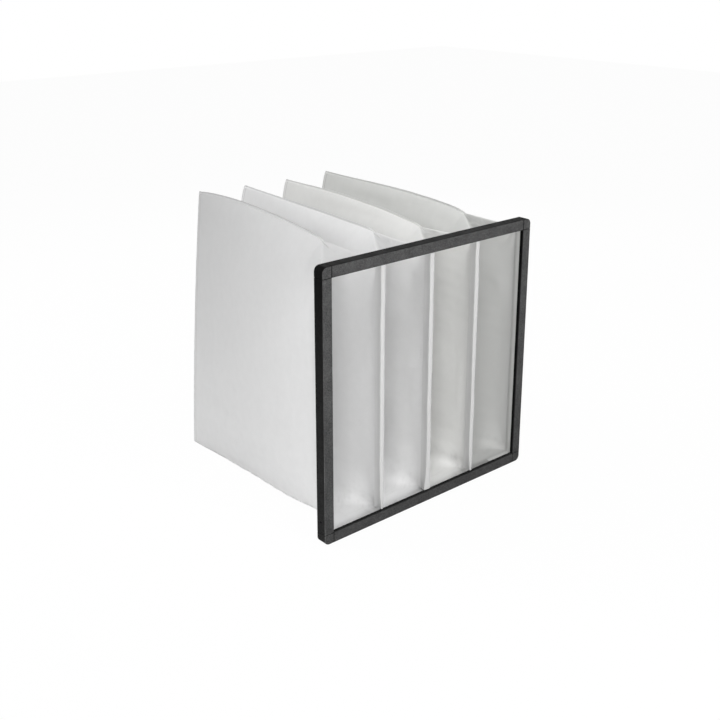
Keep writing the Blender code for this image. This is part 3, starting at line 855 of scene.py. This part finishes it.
def seam_lines(tree, x, z):
    """1 in a thin band where the corner pieces meet the rails and stiles.

    The distance from the joint's plane, put through a ramp that falls from 1 to 0.
    """
    from_middle = math_node(tree, "ABSOLUTE", x)
    from_centre = math_node(tree, "ABSOLUTE", math_node(tree, "SUBTRACT", z, MID_HEIGHT))
    seam = FRAME_SIZE / 2 - FACE_WIDTH + SEAM_LINE_OFFSET
    bands = []
    for across in (from_middle, from_centre):
        off = math_node(tree, "ABSOLUTE", math_node(tree, "SUBTRACT", across, seam))
        bands.append(ramp_node(tree, off, SEAM_LINE_INNER, SEAM_LINE_OUTER, 1.0, 0.0))
    faint = math_node(tree, "MULTIPLY", bands[1], 0.45)
    return math_node(tree, "MAXIMUM", bands[0], faint)


def plastic_group():
    """Dark channel plastic, finely grained: a lighter front face and near-black outer walls, as painted
    light and shade.

    The surface's direction tells the face from the walls, and both go from foot to top by
    height, as painted light and shade. Fine and broad noise multiply the colour as grain. The outer
    edge has a painted highlight towards the foot, and the joints of the corner pieces show as dark
    lines.
    """
    inputs = (
        ("Face Top", "color"), ("Face Foot", "color"), ("Side Top", "color"), ("Side Foot", "color"),
        ("Edge Highlight Color", "color"), ("Line Color", "color"),
    )
    outputs = (("Color", "color"), ("Roughness", "value"), ("Normal", "vector"))
    tree, enter, leave = start_group("channel_plastic", inputs, outputs)
    place = add_node(tree, "ShaderNodeTexCoord")
    split = add_node(tree, "ShaderNodeSeparateXYZ")
    link(tree, place.outputs["Object"], split.inputs["Vector"])
    facing = add_node(tree, "ShaderNodeSeparateXYZ")
    link(tree, place.outputs["Normal"], facing.inputs["Vector"])
    toward = math_node(tree, "MULTIPLY", facing.outputs["Y"], -1.0)
    # painted light and shade: the face lighter than the walls by the surface's direction
    front = ramp_node(tree, toward, 0.55, 0.95)
    # painted light and shade by height
    rise = ramp_node(tree, split.outputs["Z"], 0.0, FRAME_SIZE)
    grain = noise_node(tree, place.outputs["Object"], 420.0, 3.0, 0.65)
    patches = noise_node(tree, place.outputs["Object"], 45.0, 4.0, 0.6)
    face = mix_color(tree, rise, enter["Face Foot"], enter["Face Top"])
    side = mix_color(tree, rise, enter["Side Foot"], enter["Side Top"])
    color = mix_color(tree, front, side, face)
    # painted highlight on the rounded outer edge, stronger towards the foot
    outward = math_node(tree, "ABSOLUTE", facing.outputs["X"])
    edge = ramp_node(tree, math_node(tree, "MULTIPLY", outward, toward), 0.30, 0.48, 0.0, 0.8)
    painted_edge_highlight = math_node(tree, "MULTIPLY", edge, math_node(tree, "SUBTRACT", 1.0, rise))
    color = mix_color(tree, painted_edge_highlight, color, enter["Edge Highlight Color"])
    fine = math_node(tree, "MULTIPLY", grain, 0.75)
    broad = math_node(tree, "MULTIPLY", patches, 0.25)
    blend = math_node(tree, "ADD", fine, broad)
    speckle = add_node(tree, "ShaderNodeCombineColor")
    for socket in speckle.inputs[:3]:
        link(tree, ramp_node(tree, blend, 0.36, 0.64, 0.55, 1.45), socket)
    color = mix_color(tree, 1.0, color, speckle.outputs[0], "MULTIPLY")
    lines = seam_lines(tree, split.outputs["X"], split.outputs["Z"])
    color = mix_color(tree, math_node(tree, "MULTIPLY", lines, 0.85), color, enter["Line Color"])
    link(tree, color, leave["Color"])
    link(tree, ramp_node(tree, patches, 0.2, 0.8, 0.5, 0.7), leave["Roughness"])
    link(tree, bump_node(tree, grain, 0.25, 0.0003), leave["Normal"])
    return tree


def plastic_material(name, group, tones):
    """A dark plastic, whose tones for face and walls hold painted light and shade."""
    face_tone, top_tone, foot_tone = tones
    material, tree, shader = start_material(name)
    looks = place_group(tree, group, {
        "Face Top": gray(face_tone),
        "Face Foot": gray(face_tone * FACE_FOOT_SHARE),
        "Side Top": gray(top_tone),
        "Side Foot": gray(foot_tone),
        "Edge Highlight Color": gray(EDGE_HIGHLIGHT_TONE),
        "Line Color": gray(LINE_TONE),
    })
    link(tree, looks["Color"], shader.inputs["Base Color"])
    link(tree, looks["Roughness"], shader.inputs["Roughness"])
    link(tree, looks["Normal"], shader.inputs["Normal"])
    shader.inputs["Specular IOR Level"].default_value = PLASTIC_SPECULAR
    return material


def give_material(obj, material):
    """Put a material in each slot of an object, or in a new one."""
    if obj.data.materials:
        for i in range(len(obj.data.materials)):
            obj.material_slots[i].material = material
    else:
        obj.data.materials.append(material)


# Studio
def backdrop_rays(tree):
    """1 for the rays that show the plain white background: camera, glossy and transmission rays."""
    rays = add_node(tree, "ShaderNodeLightPath").outputs
    passed_on = math_node(tree, "MAXIMUM", rays["Is Glossy Ray"], rays["Is Transmission Ray"])
    return math_node(tree, "MAXIMUM", rays["Is Camera Ray"], passed_on)


def make_floor():
    """A flat floor just under the filter, seen as nearly white, that still takes its shadow."""
    far = FLOOR_REACH
    points = [(-far, -far, 0), (far, -far, 0), (far, far, 0), (-far, far, 0)]
    floor = new_object("studio_floor", points, [[0, 1, 2, 3]], smooth=False)
    floor.location = (0, 0, FLOOR_HEIGHT)
    material, tree, shader = start_material("studio_floor")
    shader.inputs["Base Color"].default_value = FLOOR_COLOR
    shader.inputs["Roughness"].default_value = 1.0
    shader.inputs["Specular IOR Level"].default_value = 0.0
    white = add_node(tree, "ShaderNodeEmission")
    white.inputs["Color"].default_value = WHITE
    share = math_node(tree, "MULTIPLY", backdrop_rays(tree), FLOOR_WHITENESS)
    mixed = mix_shader(tree, share, shader.outputs["BSDF"], white.outputs["Emission"])
    link(tree, mixed, tree.nodes["Material Output"].inputs["Surface"])
    give_material(floor, material)


def make_world():
    """A weak, even light from all round, seen as plain white."""
    world = bpy.data.worlds.new("studio")
    world.use_nodes = True
    bpy.context.scene.world = world
    tree = world.node_tree
    soft = tree.nodes["Background"]
    soft.inputs["Color"].default_value = WORLD_COLOR
    soft.inputs["Strength"].default_value = WORLD_STRENGTH
    white = add_node(tree, "ShaderNodeBackground")
    white.inputs["Color"].default_value = WHITE
    white.inputs["Strength"].default_value = 1.0
    rays = backdrop_rays(tree)
    mixed = mix_shader(tree, rays, soft.outputs["Background"], white.outputs["Background"])
    link(tree, mixed, tree.nodes["World Output"].inputs["Surface"])


def area_light(name, place, target, size, power):
    """A round lamp that points from its place to its target."""
    light = bpy.data.lights.new(name, "AREA")
    light.shape = "DISK"
    light.size = size
    light.energy = power
    obj = bpy.data.objects.new(name, light)
    bpy.context.scene.collection.objects.link(obj)
    obj.location = place
    obj.rotation_euler = (Vector(target) - Vector(place)).to_track_quat("-Z", "Y").to_euler()


def make_camera():
    """The camera: its line of sight comes from the yaw and the pitch, its lens from the picture."""
    camera = bpy.data.cameras.new("camera")
    camera.sensor_width = SENSOR
    camera.lens = CAMERA_FOCAL_PX * SENSOR / PICTURE
    camera.shift_y = (CAMERA_CENTRE_ROW - PICTURE / 2) / PICTURE
    obj = bpy.data.objects.new("camera", camera)
    bpy.context.scene.collection.objects.link(obj)
    yaw, pitch = math.radians(CAMERA_YAW), math.radians(CAMERA_PITCH)
    look = Vector((math.sin(yaw) * math.cos(pitch), math.cos(yaw) * math.cos(pitch), -math.sin(pitch)))
    obj.location = CAMERA_PLACE
    obj.rotation_euler = look.to_track_quat("-Z", "Y").to_euler()
    bpy.context.scene.camera = obj


def finish_plastics():
    """Give each plastic node of the construction its material."""
    group = plastic_group()
    looks = {
        ("rail", "stile"): plastic_material("header_plastic", group, HEADER_TONES),
        ("corner",): plastic_material("corner_plastic", group, CORNER_TONES),
        ("clamp",): plastic_material("strip_plastic", group, STRIP_TONES),
        ("divider_bar",): plastic_material("bar_plastic", group, BAR_TONES),
    }
    for name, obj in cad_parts.items():
        for starts, look in looks.items():
            if name.startswith(starts):
                give_material(obj, look)


def dress():
    """Make the pockets and the sleeves, and give every piece its finish."""
    nonwoven = fabric_group()
    cloths = []
    for number, (cloth, insides) in enumerate(zip(CLOTHS, INSIDES), 1):
        # each pocket's copy of the one cloth holds its own painted light and shade
        name = f"pocket_nonwoven_painted_shading_{number}"
        cloths.append(fabric_material(name, nonwoven, cloth, POCKET_THROUGH, insides))
    sleeve_cloth = fabric_material(
        "sleeve_nonwoven", nonwoven, SLEEVE_CLOTH, SLEEVE_THROUGH, SLEEVE_INSIDE)
    finish_plastics()
    spans, bars = pocket_spans()
    for number, span in enumerate(spans, 1):
        pocket = make_pocket(number, span)
        give_material(pocket, cloths[number - 1])
        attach(pocket, "root")
        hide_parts(f"pocket_{number}_left", f"pocket_{number}_right")
    for number, x in enumerate(bars, 1):
        sleeve = make_sleeve(number, x)
        give_material(sleeve, sleeve_cloth)
        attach(sleeve, "root")
        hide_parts(f"divider_sleeve_{number}")


dress()
make_floor()
make_world()
for lamp in LAMPS:
    area_light(*lamp)
bpy.context.scene.view_settings.view_transform = "Standard"
make_camera()
